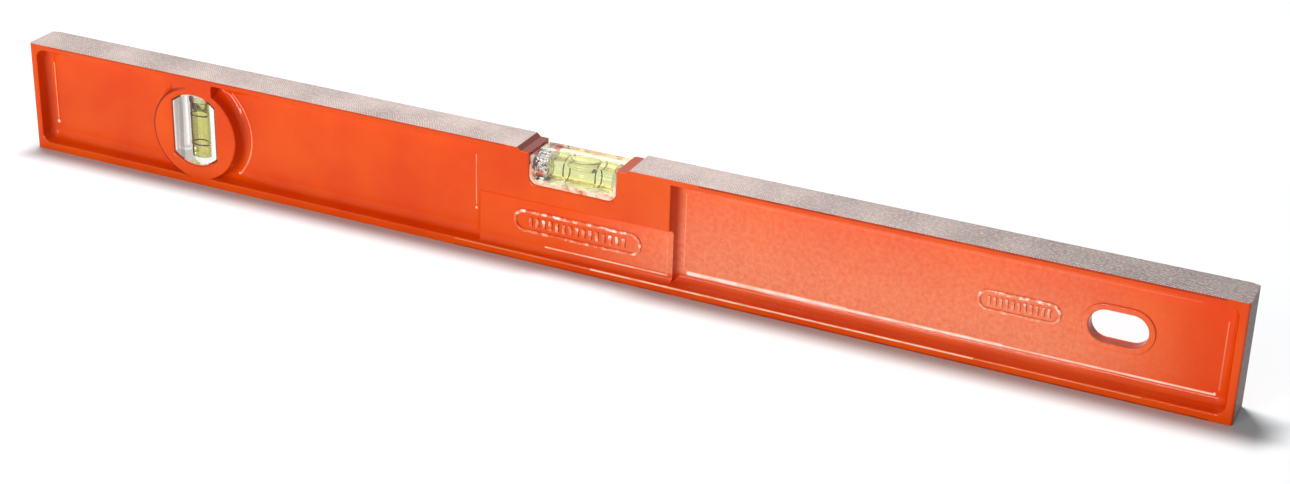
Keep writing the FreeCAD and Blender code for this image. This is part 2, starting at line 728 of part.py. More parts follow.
build_casting()
build_centre_vial()
build_plumb_vial()
doc.recompute()

nodes = (
    "body_casting",
    "centre_vial_block",
    "centre_vial_plug",
    "centre_vial_spirit",
    "centre_vial_bubble",
    "centre_vial_ring_left",
    "centre_vial_ring_right",
    "centre_vial_bedding",
    "plumb_vial_block",
    "plumb_vial_plug",
    "plumb_vial_spirit",
    "plumb_vial_bubble",
    "plumb_vial_ring_lower",
    "plumb_vial_ring_upper",
    "plumb_vial_bedding_lower",
    "plumb_vial_bedding_upper",
)

for item in doc.Objects:
    if "Invalid" in item.State or "Error" in item.State:
        raise RuntimeError(item.Name + " failed")

os.makedirs("parts", exist_ok=True)
for name in nodes:
    piece = doc.getObject(name)
    piece.Label = name
    if piece.Shape.isNull() or not piece.Shape.isValid() or len(piece.Shape.Solids) != 1:
        raise RuntimeError(name + " is not one valid solid")
for name in nodes:
    shape = doc.getObject(name).Shape
    shape.exportStep("parts/%s.step" % name)
    print("%-26s %10.1f mm3" % (name, shape.Volume))
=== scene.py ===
import math
import bmesh
import bpy
from mathutils import Matrix, Vector, noise


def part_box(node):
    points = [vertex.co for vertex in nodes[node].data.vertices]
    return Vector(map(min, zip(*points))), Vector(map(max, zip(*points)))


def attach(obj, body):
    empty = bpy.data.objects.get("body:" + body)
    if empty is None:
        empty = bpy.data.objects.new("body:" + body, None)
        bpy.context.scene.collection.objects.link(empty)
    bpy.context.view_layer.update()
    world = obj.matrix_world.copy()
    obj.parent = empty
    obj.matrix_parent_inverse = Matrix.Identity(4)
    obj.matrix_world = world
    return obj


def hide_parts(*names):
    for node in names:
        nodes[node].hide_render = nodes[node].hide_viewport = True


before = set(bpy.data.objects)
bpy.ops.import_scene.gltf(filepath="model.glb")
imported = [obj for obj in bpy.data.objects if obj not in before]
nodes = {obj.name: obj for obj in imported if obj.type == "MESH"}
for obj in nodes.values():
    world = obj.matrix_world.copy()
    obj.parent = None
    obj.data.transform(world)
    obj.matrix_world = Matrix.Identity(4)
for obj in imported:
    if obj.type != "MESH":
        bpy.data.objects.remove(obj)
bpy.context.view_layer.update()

mm = 0.001
noiseSpan = {"From Min": 0.3, "From Max": 0.7}  # nearly all the values that a noise texture gives
patchSpan = {"From Min": 0.35, "From Max": 0.65}  # cuts the same values into patches
print("frame loaded with", len(nodes), "nodes")


def hexToLinear(code):  # sRGB hex to the linear values that the shader wants
    parts = [int(code[i:i + 2], 16) / 255 for i in (1, 3, 5)]
    return tuple(p / 12.92 if p <= 0.04045 else ((p + 0.055) / 1.055) ** 2.4 for p in parts) + (1.0,)


def newMaterial(name):
    mat = bpy.data.materials.new(name)
    mat.use_nodes = True
    mat.node_tree.nodes.clear()
    return mat, mat.node_tree


def addNode(tree, kind, inputs=None, **settings):  # an input is a value, a socket, or a node's first output
    node = tree.nodes.new("ShaderNode" + kind)
    for key, value in settings.items():
        setattr(node, key, value)
    for key, value in (inputs or {}).items():
        if isinstance(value, bpy.types.Node):
            value = value.outputs[0]
        if isinstance(value, bpy.types.NodeSocket):
            tree.links.new(value, node.inputs[key])
        else:
            node.inputs[key].default_value = value
    return node


# painted casting

paint = {
    "orange": "#EA5404", "deepOrange": "#E24602", "haze": "#F89C76", "paleWearAndHighlight": "#FCBE98", "whiteWearAndGlint": "#FFF4EC",
    "paintedShade": "#9E2A0C", "mouthDark": "#5E3028", "roughness": 0.25, "specular": 0.05, "coat": 0.33,
    "coatRoughness": 0.02, "blotchMm": 34.0, "castWaveMm": 11.0, "orangePeelMm": 1.3, "peelShare": 0.12,
    "bump": 0.3, "bumpMm": 0.3, "webDepth": 2.5,

    # painted sheen: a pale haze of reflected light over the right half of the front, most of all low on the
    # web, given as axis, from, to, share at each, and the way it runs between them
    "sheenGrainMm": 2.2, "sheenDetail": 5.0, "sheenRoughness": 0.65, "sheenLeast": 0.45,
    "sheenRamps": (
        ("X", -10.0, 70.0, 0.0, 1.0, "SMOOTHSTEP"), ("X", 215.0, 292.0, 1.0, 0.0, "SMOOTHSTEP"),
        ("Z", 5.0, 52.0, 1.0, 0.35, "LINEAR"), ("Z", 7.4, 8.6, 0.1, 1.0, "LINEAR"),
        ("Y", -9.8, -7.0, 0.2, 1.0, "LINEAR"),
    ),

    # painted shade: sunk walls that face right are coloured dark, as if lit only from the left
    "shadeFrom": 0.25, "shadeFull": 0.8, "shadeShare": 0.6, "shadeDepth": 9.6,

    # painted highlights: pale lines along the edges of the fillets and white dots at their ends, where glints
    # run, given as left, right, low, high, distance from the middle plane, half width and strength
    "highlightLines": (
        (-291.6, -291.6, 14.5, 44.0, 2.5, 0.45, 0.7), (-291.6, -291.6, 13.0, 13.0, 2.5, 1.1, 1.9),
        (-52.7, -52.7, 19.5, 44.0, 2.5, 0.4, 0.7), (-52.7, -52.7, 17.5, 17.5, 2.5, 0.8, 1.4),
        (52.7, 52.7, 10.0, 47.0, 2.5, 0.35, 0.4), (70.0, 280.0, 48.1, 48.1, 2.5, 0.35, 0.15),
        (291.6, 291.6, 11.0, 42.0, 2.5, 0.4, 0.35), (55.0, 130.0, 8.7, 8.7, 2.5, 1.25, 2.0),
        (125.0, 200.0, 8.6, 8.6, 2.5, 0.95, 1.9), (195.0, 290.0, 8.5, 8.5, 2.5, 0.65, 1.6),
        (10.0, 190.0, 3.3, 3.3, 10.0, 0.5, 1.3), (190.0, 262.0, 3.3, 3.3, 10.0, 0.35, 0.4),
        (-60.0, 10.0, 3.3, 3.3, 10.0, 0.35, 0.4),
        (-15.0, 46.0, 7.2, 7.2, 6.0, 0.5, 1.2), (46.0, 46.0, 8.0, 26.0, 6.0, 0.3, 0.3),
        (-183.4, -183.4, 7.0, 7.0, 2.5, 1.0, 1.4), (290.0, 290.0, 8.8, 8.8, 2.5, 0.8, 1.8),
    ),
    # painted shade: dark lines just under the top edge and along the foot of the front, in the same columns
    "shadeLines": (
        (-288.0, -34.0, 55.1, 55.1, 10.0, 0.55, 0.55), (62.0, 290.0, 55.1, 55.1, 10.0, 0.75, 0.9),
        (-60.0, 50.0, 0.3, 0.3, 10.0, 0.5, 0.6), (60.0, 290.0, 0.3, 0.3, 10.0, 0.6, 0.8),
    ),
    "lineCore": 0.35, "planeSlackMm": 0.35, "breakMm": 9.0, "breakFrom": 0.35, "breakTo": 0.6,
    "breakLeast": 0.6, "whiteGlintFrom": 0.8,

    # round the disc: radius, half widths of full and of no strength, and strength
    "discZ": 26.2, "discFoot": (28.2, 0.15, 0.5, 0.8), "footFromX": -186.0,
    "discRim": (23.2, 0.45, 1.0, 1.0), "rimFullX": -214.0, "rimEndX": -206.0, "rimDepth": 7.5,

    # the frames and bars are rubbed pale in patches, and a painted highlight makes them lighter above their
    # middle than below it
    "rubMm": 3.0, "rubFrom": 0.46, "rubTo": 0.74, "rubLeast": 0.12, "rubMost": 1.6, "proudMm": 0.3,
    "glintLow": -1.0, "glintHigh": 2.0, "glintBelow": 0.7, "glintAbove": 1.7,

    # the mouth of the notch is coloured dark brown, most of all at its left
    "mouthFromX": 21.0, "mouthToX": 28.3, "mouthFromZ": 53.4, "mouthDepth": 9.7, "mouthSplit": 1.0,
    "mouthLeft": 0.95, "mouthRight": 0.75,
}
bars = {
    # plain raised bars in the two frames: middle, ground (y) and half size of the frame, and the bars
    "large": {"x": 1.0, "z": 18.3, "y": -6.0, "frame": (33.0, 6.2), "count": 15, "pitch": 3.35, "width": 1.7,
              "height": 4.6, "rise": 0.7},
    "small": {"x": 205.7, "z": 28.3, "y": -2.5, "frame": (19.0, 5.6), "count": 11, "pitch": 2.6, "width": 1.35,
              "height": 4.3, "rise": 0.7},
}


def nearPlane(tree, depth, plane):
    off = addNode(tree, "Math", {0: depth, 1: plane * mm}, operation="SUBTRACT")
    off = addNode(tree, "Math", {0: off}, operation="ABSOLUTE")
    return addNode(tree, "Math", {0: off, 1: paint["planeSlackMm"] * mm}, operation="LESS_THAN")


def drawnLines(tree, spot, depth, rows):
    total = None
    for left, right, low, high, plane, width, strength in rows:
        middle = ((left + right) / 2 * mm, 0.0, (low + high) / 2 * mm)
        half = ((right - left) / 2 * mm, 0.0, (high - low) / 2 * mm)
        away = addNode(tree, "VectorMath", {0: spot, 1: middle}, operation="SUBTRACT")
        away = addNode(tree, "VectorMath", {0: away}, operation="ABSOLUTE")
        away = addNode(tree, "VectorMath", {0: away, 1: half}, operation="SUBTRACT")
        away = addNode(tree, "VectorMath", {0: away, 1: (0.0, 0.0, 0.0)}, operation="MAXIMUM")
        reach = addNode(tree, "VectorMath", {0: away}, operation="LENGTH").outputs["Value"]
        line = addNode(tree, "MapRange", {"Value": reach, "From Min": paint["lineCore"] * width * mm,
                                          "From Max": width * mm, "To Min": strength, "To Max": 0.0})
        line = addNode(tree, "Math", {0: line, 1: nearPlane(tree, depth, plane)}, operation="MULTIPLY")
        total = line if total is None else addNode(tree, "Math", {0: total, 1: line}, operation="MAXIMUM")
    return total


def discArc(tree, spot, radius, core, edge, strength):  # the disc's centre stands over the plumb block's
    low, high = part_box("plumb_vial_block")
    middle = ((low.x + high.x) / 2, 0.0, paint["discZ"] * mm)
    away = addNode(tree, "VectorMath", {0: spot, 1: middle}, operation="SUBTRACT")
    reach = addNode(tree, "VectorMath", {0: away}, operation="LENGTH").outputs["Value"]
    gap = addNode(tree, "Math", {0: reach, 1: radius * mm}, operation="SUBTRACT")
    gap = addNode(tree, "Math", {0: gap}, operation="ABSOLUTE")
    return addNode(tree, "MapRange", {"Value": gap, "From Min": core * mm, "From Max": edge * mm,
                                      "To Min": strength, "To Max": 0.0})


def footHighlight(tree, spot, depth, x):  # painted highlight: a pale line round the right side of the disc's foot
    line = discArc(tree, spot, *paint["discFoot"])
    side = addNode(tree, "Math", {0: x, 1: paint["footFromX"] * mm}, operation="GREATER_THAN")
    for mask in (nearPlane(tree, depth, paint["webDepth"]), side):
        line = addNode(tree, "Math", {0: line, 1: mask}, operation="MULTIPLY")
    return line


def paintedShade(tree, spot, depth, x):  # painted shade: dark along the left of the disc's rim
    line = discArc(tree, spot, *paint["discRim"])
    front = addNode(tree, "Math", {0: depth, 1: paint["rimDepth"] * mm}, operation="GREATER_THAN")
    side = addNode(tree, "MapRange", {"Value": x, "From Min": paint["rimFullX"] * mm,
                                      "From Max": paint["rimEndX"] * mm, "To Min": 1.0, "To Max": 0.0})
    for mask in (front, side):
        line = addNode(tree, "Math", {0: line, 1: mask}, operation="MULTIPLY")
    return line


def wornAndGlintRelief(tree, place, axes, depth):  # the frames and bars stand proud, so their paint is rubbed thin, and their pale tops are partly painted glints
    total = None
    for row in bars.values():
        ground = (paint["proudMm"] - row["y"]) * mm
        high = addNode(tree, "Math", {0: depth, 1: ground}, operation="GREATER_THAN")
        for axis, middle, reach in (("X", row["x"], row["frame"][0]), ("Z", row["z"], row["frame"][1])):
            off = addNode(tree, "Math", {0: axes[axis], 1: middle * mm}, operation="SUBTRACT")
            off = addNode(tree, "Math", {0: off}, operation="ABSOLUTE")
            inside = addNode(tree, "Math", {0: off, 1: reach * mm}, operation="LESS_THAN")
            high = addNode(tree, "Math", {0: high, 1: inside}, operation="MULTIPLY")
        upper = addNode(tree, "MapRange", {
            "Value": axes["Z"], "From Min": (row["z"] + paint["glintLow"]) * mm,
            "From Max": (row["z"] + paint["glintHigh"]) * mm, "To Min": paint["glintBelow"],
            "To Max": paint["glintAbove"]})
        high = addNode(tree, "Math", {0: high, 1: upper}, operation="MULTIPLY")
        total = high if total is None else addNode(tree, "Math", {0: total, 1: high}, operation="MAXIMUM")
    rubbed = addNode(tree, "TexNoise", {"Vector": place, "Scale": 1 / (paint["rubMm"] * mm), "Detail": 3.0})
    rubbed = addNode(tree, "MapRange", {"Value": rubbed, "From Min": paint["rubFrom"],
                                        "From Max": paint["rubTo"], "To Min": paint["rubLeast"],
                                        "To Max": paint["rubMost"]})
    return addNode(tree, "Math", {0: total, 1: rubbed}, operation="MULTIPLY")


# painted sheen: where the pale haze of reflected light lies over the front
def paintedSheen(tree, place, axes):
    grain = addNode(tree, "TexNoise", {"Vector": place, "Scale": 1 / (paint["sheenGrainMm"] * mm),
                                       "Detail": paint["sheenDetail"], "Roughness": paint["sheenRoughness"]})
    amount = addNode(tree, "MapRange", {"Value": grain, **noiseSpan, "To Min": paint["sheenLeast"]})
    front = addNode(tree, "Math", {0: axes["Y"], 1: 0.0}, operation="LESS_THAN")
    amount = addNode(tree, "Math", {0: amount, 1: front}, operation="MULTIPLY")
    for axis, start, end, first, last, way in paint["sheenRamps"]:
        ramp = addNode(tree, "MapRange", {"Value": axes[axis], "From Min": start * mm, "From Max": end * mm,
                                          "To Min": first, "To Max": last}, interpolation_type=way)
        amount = addNode(tree, "Math", {0: amount, 1: ramp}, operation="MULTIPLY")
    return amount


# painted shade on sunk walls that face right
def paintedShadeRightWalls(tree, depth, normalX):
    shade = addNode(tree, "MapRange", {"Value": normalX, "From Min": paint["shadeFrom"],
                                     "From Max": paint["shadeFull"], "To Max": paint["shadeShare"]})
    sunk = addNode(tree, "Math", {0: depth, 1: paint["shadeDepth"] * mm}, operation="LESS_THAN")
    return addNode(tree, "Math", {0: shade, 1: sunk}, operation="MULTIPLY")


# darkens the mouth of the notch, more at its left
def darkerMouth(tree, axes, depth):
    span = addNode(tree, "Math", {0: axes["X"]}, operation="ABSOLUTE")
    worn = addNode(tree, "MapRange", {
        "Value": axes["X"], "From Min": -paint["mouthSplit"] * mm, "From Max": paint["mouthSplit"] * mm,
        "To Min": paint["mouthLeft"], "To Max": paint["mouthRight"]})
    for value, limit, side in ((span, "mouthFromX", "GREATER_THAN"), (span, "mouthToX", "LESS_THAN"),
                               (axes["Z"], "mouthFromZ", "GREATER_THAN"), (depth, "mouthDepth", "LESS_THAN")):
        mask = addNode(tree, "Math", {0: value, 1: paint[limit] * mm}, operation=side)
        worn = addNode(tree, "Math", {0: worn, 1: mask}, operation="MULTIPLY")
    return worn


def paintColour(tree, place, axes, normalX):
    depth = addNode(tree, "Math", {0: axes["Y"]}, operation="ABSOLUTE")
    spot = addNode(tree, "CombineXYZ", {0: axes["X"], 2: axes["Z"]})
    blotch = addNode(tree, "TexNoise", {"Vector": place, "Scale": 1 / (paint["blotchMm"] * mm), "Detail": 4.0})
    patchy = addNode(tree, "MapRange", {"Value": blotch, **patchSpan})

    broken = addNode(tree, "TexNoise", {"Vector": place, "Scale": 1 / (paint["breakMm"] * mm), "Detail": 3.0})
    broken = addNode(tree, "MapRange", {"Value": broken, "From Min": paint["breakFrom"],
                                        "From Max": paint["breakTo"], "To Min": paint["breakLeast"]})
    # painted highlights: pale lines that turn white where strongest, with the rubbed and glinting relief
    highlight = drawnLines(tree, spot, depth, paint["highlightLines"])
    highlight = addNode(tree, "Math", {0: highlight, 1: footHighlight(tree, spot, depth, axes["X"])}, operation="MAXIMUM")
    highlight = addNode(tree, "Math", {0: highlight, 1: broken}, operation="MULTIPLY")
    worn = addNode(tree, "Math", {0: highlight, 1: wornAndGlintRelief(tree, place, axes, depth)}, operation="ADD")
    paleAmount = addNode(tree, "Math", {0: worn, 1: 1.0}, operation="MULTIPLY", use_clamp=True)
    whiteAmount = addNode(tree, "Math", {0: worn, 1: paint["whiteGlintFrom"]}, operation="SUBTRACT", use_clamp=True)
    # painted shade: dark lines along the edges and round the left of the disc's rim
    dark = drawnLines(tree, spot, depth, paint["shadeLines"])
    dark = addNode(tree, "Math", {0: dark, 1: broken}, operation="MULTIPLY")
    dark = addNode(tree, "Math", {0: dark, 1: paintedShade(tree, spot, depth, axes["X"])}, operation="MAXIMUM")

    colour = hexToLinear(paint["orange"])
    for amount, layer in (
            (patchy, "deepOrange"), (paintedSheen(tree, place, axes), "haze"),
            (paintedShadeRightWalls(tree, depth, normalX), "paintedShade"), (paleAmount, "paleWearAndHighlight"), (whiteAmount, "whiteWearAndGlint"),
            (dark, "paintedShade"), (darkerMouth(tree, axes, depth), "mouthDark")):
        mixed = addNode(tree, "Mix", {0: amount, 6: colour, 7: hexToLinear(paint[layer])}, data_type="RGBA")
        colour = mixed.outputs[2]
    return colour


milled = {
    "metal": "#9B8D88", "grey": "#7B706D", "bright": "#C2B7B2", "paintedDim": "#5D5553", "roughness": 0.7,
    "stainMm": 26.0, "dimFromX": 60.0, "dimToX": 270.0, "dimMost": 0.8, "edgeMm": 0.06, "faceUp": 0.7,
    # two sets of slanting cuts cross, each fading in patches of its own size
    "cuts": (("ADD", 23.0), ("SUBTRACT", 17.0)), "cutPitchMm": 1.35, "cutLean": 0.85, "cutCurve": 14.0,
    "cutLeast": 0.1, "cutShare": 0.36, "wanderMm": 4.2, "wanderPatchMm": 16.0,
    "gritMm": 1.5, "gritDark": -0.42, "gritBright": 0.46,
    "shineFrom": -0.1, "shineTo": 0.6, "shineMost": 0.5, "grooveShare": 0.25,
}


def bareFaces(tree, axes, normalZ):  # 1 on the machined top, base and ends, and 1 on the ends alone
    low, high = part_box("body_casting")
    edge = milled["edgeMm"] * mm
    isHigh = addNode(tree, "Math", {0: axes["Z"], 1: high.z - edge}, operation="GREATER_THAN")
    faceUp = addNode(tree, "Math", {0: normalZ, 1: milled["faceUp"]}, operation="GREATER_THAN")
    top = addNode(tree, "Math", {0: isHigh, 1: faceUp}, operation="MULTIPLY")
    base = addNode(tree, "Math", {0: axes["Z"], 1: low.z + edge}, operation="LESS_THAN")
    span = addNode(tree, "Math", {0: axes["X"]}, operation="ABSOLUTE")
    ends = addNode(tree, "Math", {0: span, 1: high.x - edge}, operation="GREATER_THAN")
    flat = addNode(tree, "Math", {0: top, 1: base}, operation="MAXIMUM")
    return addNode(tree, "Math", {0: flat, 1: ends}, operation="MAXIMUM"), ends


def cutterMarks(tree, place, axes, ends):  # the cuts wander and fade as the cutter wears
    along = addNode(tree, "Mix", {0: ends, 2: axes["X"], 3: axes["Z"]}, data_type="FLOAT")
    wander = addNode(tree, "TexNoise", {"Vector": place, "Scale": 1 / (milled["wanderPatchMm"] * mm),
                                        "Detail": 2.0})
    wander = addNode(tree, "Math", {0: wander, 1: milled["wanderMm"] * mm}, operation="MULTIPLY")
    along = addNode(tree, "Math", {0: along, 1: wander}, operation="ADD")
    square = addNode(tree, "Math", {0: axes["Y"], 1: axes["Y"]}, operation="MULTIPLY")
    bow = addNode(tree, "Math", {0: square, 1: milled["cutCurve"]}, operation="MULTIPLY")
    lean = addNode(tree, "Math", {0: axes["Y"], 1: milled["cutLean"]}, operation="MULTIPLY")
    sweep = addNode(tree, "Math", {0: bow, 1: lean}, operation="ADD")
    turns = 2 * math.pi / (milled["cutPitchMm"] * mm)
    total = None
    for way, patchMm in milled["cuts"]:
        line = addNode(tree, "Math", {0: along, 1: sweep}, operation=way)
        line = addNode(tree, "Math", {0: line, 1: turns}, operation="MULTIPLY")
        wave = addNode(tree, "Math", {0: line}, operation="SINE")
        patch = addNode(tree, "TexNoise", {"Vector": place, "Scale": 1 / (patchMm * mm), "Detail": 3.0})
        strength = addNode(tree, "MapRange", {"Value": patch, **patchSpan, "To Min": milled["cutLeast"]})
        wave = addNode(tree, "Math", {0: wave, 1: strength}, operation="MULTIPLY")
        total = wave if total is None else addNode(tree, "Math", {0: total, 1: wave}, operation="ADD")
    grit = addNode(tree, "TexNoise", {"Vector": place, "Scale": 1 / (milled["gritMm"] * mm), "Detail": 4.0,
                                      "Roughness": 0.65})
    grit = addNode(tree, "MapRange", {"Value": grit, **noiseSpan, "To Min": milled["gritDark"],
                                      "To Max": milled["gritBright"]})
    return addNode(tree, "Math", {0: total, 1: milled["cutShare"], 2: grit}, operation="MULTIPLY_ADD")


def metalColour(tree, place, axes, marks):  # stained in patches, bright on the cuts, and darker towards the right as a painted reflection that fades
    stain = addNode(tree, "TexNoise", {"Vector": place, "Scale": 1 / (milled["stainMm"] * mm), "Detail": 5.0,
                                       "Roughness": 0.6})
    stain = addNode(tree, "MapRange", {"Value": stain, **noiseSpan})
    paintedDimming = addNode(tree, "MapRange", {"Value": axes["X"], "From Min": milled["dimFromX"] * mm,
                                         "From Max": milled["dimToX"] * mm, "To Max": milled["dimMost"]})
    shine = addNode(tree, "MapRange", {"Value": marks, "From Min": milled["shineFrom"],
                                       "From Max": milled["shineTo"], "To Max": milled["shineMost"]})
    colour = hexToLinear(milled["metal"])
    for amount, layer in ((stain, "grey"), (paintedDimming, "paintedDim"), (shine, "bright")):
        mixed = addNode(tree, "Mix", {0: amount, 6: colour, 7: hexToLinear(milled[layer])}, data_type="RGBA")
        colour = mixed.outputs[2]
    return colour


def makeCastPaint():
    # thick gloss paint over a sand casting: soft waves, orange peel, and a coat that gives sharp glints.
    # The bare faces are machined aluminium with crossing cutter marks.
    mat, tree = newMaterial("glossPaintOnCastAluminium")
    place = addNode(tree, "TexCoord").outputs["Object"]
    axes = addNode(tree, "SeparateXYZ", {0: place}).outputs
    normal = addNode(tree, "SeparateXYZ", {0: addNode(tree, "NewGeometry").outputs["True Normal"]}).outputs
    bare, ends = bareFaces(tree, axes, normal["Z"])
    marks = cutterMarks(tree, place, axes, ends)
    colour = addNode(tree, "Mix", {0: bare, 6: paintColour(tree, place, axes, normal["X"]),
                                   7: metalColour(tree, place, axes, marks)}, data_type="RGBA")

    peel = addNode(tree, "TexNoise", {"Vector": place, "Scale": 1 / (paint["orangePeelMm"] * mm),
                                      "Detail": 1.0})
    wave = addNode(tree, "TexNoise", {"Vector": place, "Scale": 1 / (paint["castWaveMm"] * mm), "Detail": 2.0})
    skin = addNode(tree, "Math", {0: peel, 1: paint["peelShare"], 2: wave}, operation="MULTIPLY_ADD")
    grooves = addNode(tree, "Math", {0: marks, 1: milled["grooveShare"]}, operation="MULTIPLY")
    height = addNode(tree, "Mix", {0: bare, 2: skin, 3: grooves}, data_type="FLOAT")
    bump = addNode(tree, "Bump", {"Strength": paint["bump"], "Distance": paint["bumpMm"] * mm,
                                  "Height": height})
    painted = addNode(tree, "Math", {0: 1.0, 1: bare}, operation="SUBTRACT")
    coat = addNode(tree, "Math", {0: painted, 1: paint["coat"]}, operation="MULTIPLY")
    rough = addNode(tree, "Mix", {0: bare, 2: paint["roughness"], 3: milled["roughness"]}, data_type="FLOAT")
    shader = addNode(tree, "BsdfPrincipled", {
        "Base Color": colour.outputs[2], "Metallic": bare, "Roughness": rough, "Coat Weight": coat,
        "Coat Roughness": paint["coatRoughness"], "Specular IOR Level": paint["specular"], "Normal": bump})
    addNode(tree, "OutputMaterial", {"Surface": shader})
    return mat


# vial materials

clear = {
    "tint": "#F8F7F3", "ior": 1.49, "polished": 0.02, "hazy": 0.05, "hazeMm": 6.0, "sawn": 0.28,
    "endNormal": 0.9, "shadowAlpha": 0.4,
    # painted reflection: grey streaks in the clear block left of the vial stand for the walls of the round
    # window
    "streak": "#6E524C", "streakMm": 1.7, "streakStretch": 0.03, "streakFrom": 0.42, "streakTo": 0.5,
    "reflectionMost": 0.75,
}


def lightThrough(tree):  # lets lamp light reach what lies behind clear parts, where caustics aren't traced
    shadow = addNode(tree, "LightPath").outputs["Is Shadow Ray"]
    return addNode(tree, "MapRange", {"Value": shadow, "To Min": 1.0, "To Max": clear["shadowAlpha"]})


def paintedWallReflection(tree, place, most):  # painted reflection of the window's walls: streaks that run upright through the block
    flat = addNode(tree, "VectorMath", {0: place, 1: (1.0, 0.0, clear["streakStretch"])}, operation="MULTIPLY")
    streak = addNode(tree, "TexNoise", {"Vector": flat, "Scale": 1 / (clear["streakMm"] * mm), "Detail": 2.0})
    streak = addNode(tree, "MapRange", {"Value": streak, "From Min": clear["streakFrom"],
                                        "From Max": clear["streakTo"], "To Max": most})
    x = addNode(tree, "SeparateXYZ", {0: place}).outputs["X"]
    left = addNode(tree, "Math", {0: x, 1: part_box("plumb_vial_spirit")[0].x}, operation="LESS_THAN")
    streak = addNode(tree, "Math", {0: streak, 1: left}, operation="MULTIPLY")
    return addNode(tree, "Mix", {0: streak, 6: hexToLinear(clear["tint"]), 7: hexToLinear(clear["streak"])},
                   data_type="RGBA").outputs[2]


def makeAcrylic(name, reflectionMost=0.0):
    # cast acrylic: polished front, back and top, and sawn ends that scatter the light
    mat, tree = newMaterial(name)
    place = addNode(tree, "TexCoord").outputs["Object"]
    normal = addNode(tree, "SeparateXYZ", {0: addNode(tree, "NewGeometry").outputs["True Normal"]})
    endways = addNode(tree, "Math", {0: normal.outputs["X"]}, operation="ABSOLUTE")
    sawn = addNode(tree, "Math", {0: endways, 1: clear["endNormal"]}, operation="GREATER_THAN")
    haze = addNode(tree, "TexNoise", {"Vector": place, "Scale": 1 / (clear["hazeMm"] * mm), "Detail": 3.0})
    haze = addNode(tree, "MapRange", {"Value": haze, "From Min": 0.4, "From Max": 0.8,
                                      "To Min": clear["polished"], "To Max": clear["hazy"]})
    rough = addNode(tree, "Math", {0: sawn, 1: clear["sawn"], 2: haze}, operation="MULTIPLY_ADD")
    shader = addNode(tree, "BsdfPrincipled", {
        "Base Color": paintedWallReflection(tree, place, reflectionMost), "IOR": clear["ior"], "Transmission Weight": 1.0,
        "Roughness": rough, "Alpha": lightThrough(tree)})
    addNode(tree, "OutputMaterial", {"Surface": shader})
    return mat


spirit = {
    "ior": 1.36, "swirlMm": 9.0,
    "centre": {"name": "dyedSpirit", "colour": "#EEF2B4", "deep": "#E4EBA0"},
    "plumb": {"name": "dyedSpiritShaded", "colour": "#D8D67E", "deep": "#C9C868"},  # a darker copy of the same spirit, as painted shade where it stands against a darker wall
}
air = {"tint": "#FFFFFF", "filmMm": 4.0, "filmRoughness": 0.01}


def makeSpirit(dye):
    # dyed alcohol, yellow-green, with a slow swirl of a deeper tint
    mat, tree = newMaterial(dye["name"])
    place = addNode(tree, "TexCoord").outputs["Object"]
    swirl = addNode(tree, "TexNoise", {"Vector": place, "Scale": 1 / (spirit["swirlMm"] * mm), "Detail": 1.0})
    swirl = addNode(tree, "MapRange", {"Value": swirl, **noiseSpan})
    colour = addNode(tree, "Mix", {0: swirl, 6: hexToLinear(dye["colour"]), 7: hexToLinear(dye["deep"])},
                     data_type="RGBA")
    shader = addNode(tree, "BsdfPrincipled", {
        "Base Color": colour.outputs[2], "IOR": spirit["ior"], "Transmission Weight": 1.0, "Roughness": 0.0,
        "Alpha": lightThrough(tree)})
    addNode(tree, "OutputMaterial", {"Surface": shader})
    return mat


def makeAir():
    # air in spirit: light passes from spirit to air, so the index is the ratio of the two
    mat, tree = newMaterial("airInSpirit")
    place = addNode(tree, "TexCoord").outputs["Object"]
    film = addNode(tree, "TexNoise", {"Vector": place, "Scale": 1 / (air["filmMm"] * mm), "Detail": 1.0})
    film = addNode(tree, "MapRange", {"Value": film, **noiseSpan, "To Max": air["filmRoughness"]})
    shader = addNode(tree, "BsdfPrincipled", {
        "Base Color": hexToLinear(air["tint"]), "IOR": 1 / spirit["ior"], "Transmission Weight": 1.0,
        "Roughness": film, "Alpha": lightThrough(tree)})
    addNode(tree, "OutputMaterial", {"Surface": shader})
    return mat


ring = {"enamel": "#14130F", "worn": "#26241C", "wearMm": 1.5, "roughness": 0.4, "halfMm": 0.28, "bondMm": 0.05,
        "proudMm": 0.08}


def makeRing():
    # black enamelled ring, almost matt under the spirit
    mat, tree = newMaterial("blackEnamel")
    place = addNode(tree, "TexCoord").outputs["Object"]
    wear = addNode(tree, "TexNoise", {"Vector": place, "Scale": 1 / (ring["wearMm"] * mm), "Detail": 2.0})
    wear = addNode(tree, "MapRange", {"Value": wear, "From Min": 0.4, "From Max": 0.7})
    colour = addNode(tree, "Mix", {0: wear, 6: hexToLinear(ring["enamel"]), 7: hexToLinear(ring["worn"])},
                     data_type="RGBA")
    shader = addNode(tree, "BsdfPrincipled", {"Base Color": colour.outputs[2], "Roughness": ring["roughness"]})
    addNode(tree, "OutputMaterial", {"Surface": shader})
    return mat


glue = {"foldMm": 2.0, "bubbleMm": 1.6, "bumpMm": 3.0, "dark": "#241E1C", "bright": "#FBF8F6", "darkTo": 0.3,
        "brightFrom": 0.5, "roughness": 0.12, "metallic": 0.75}


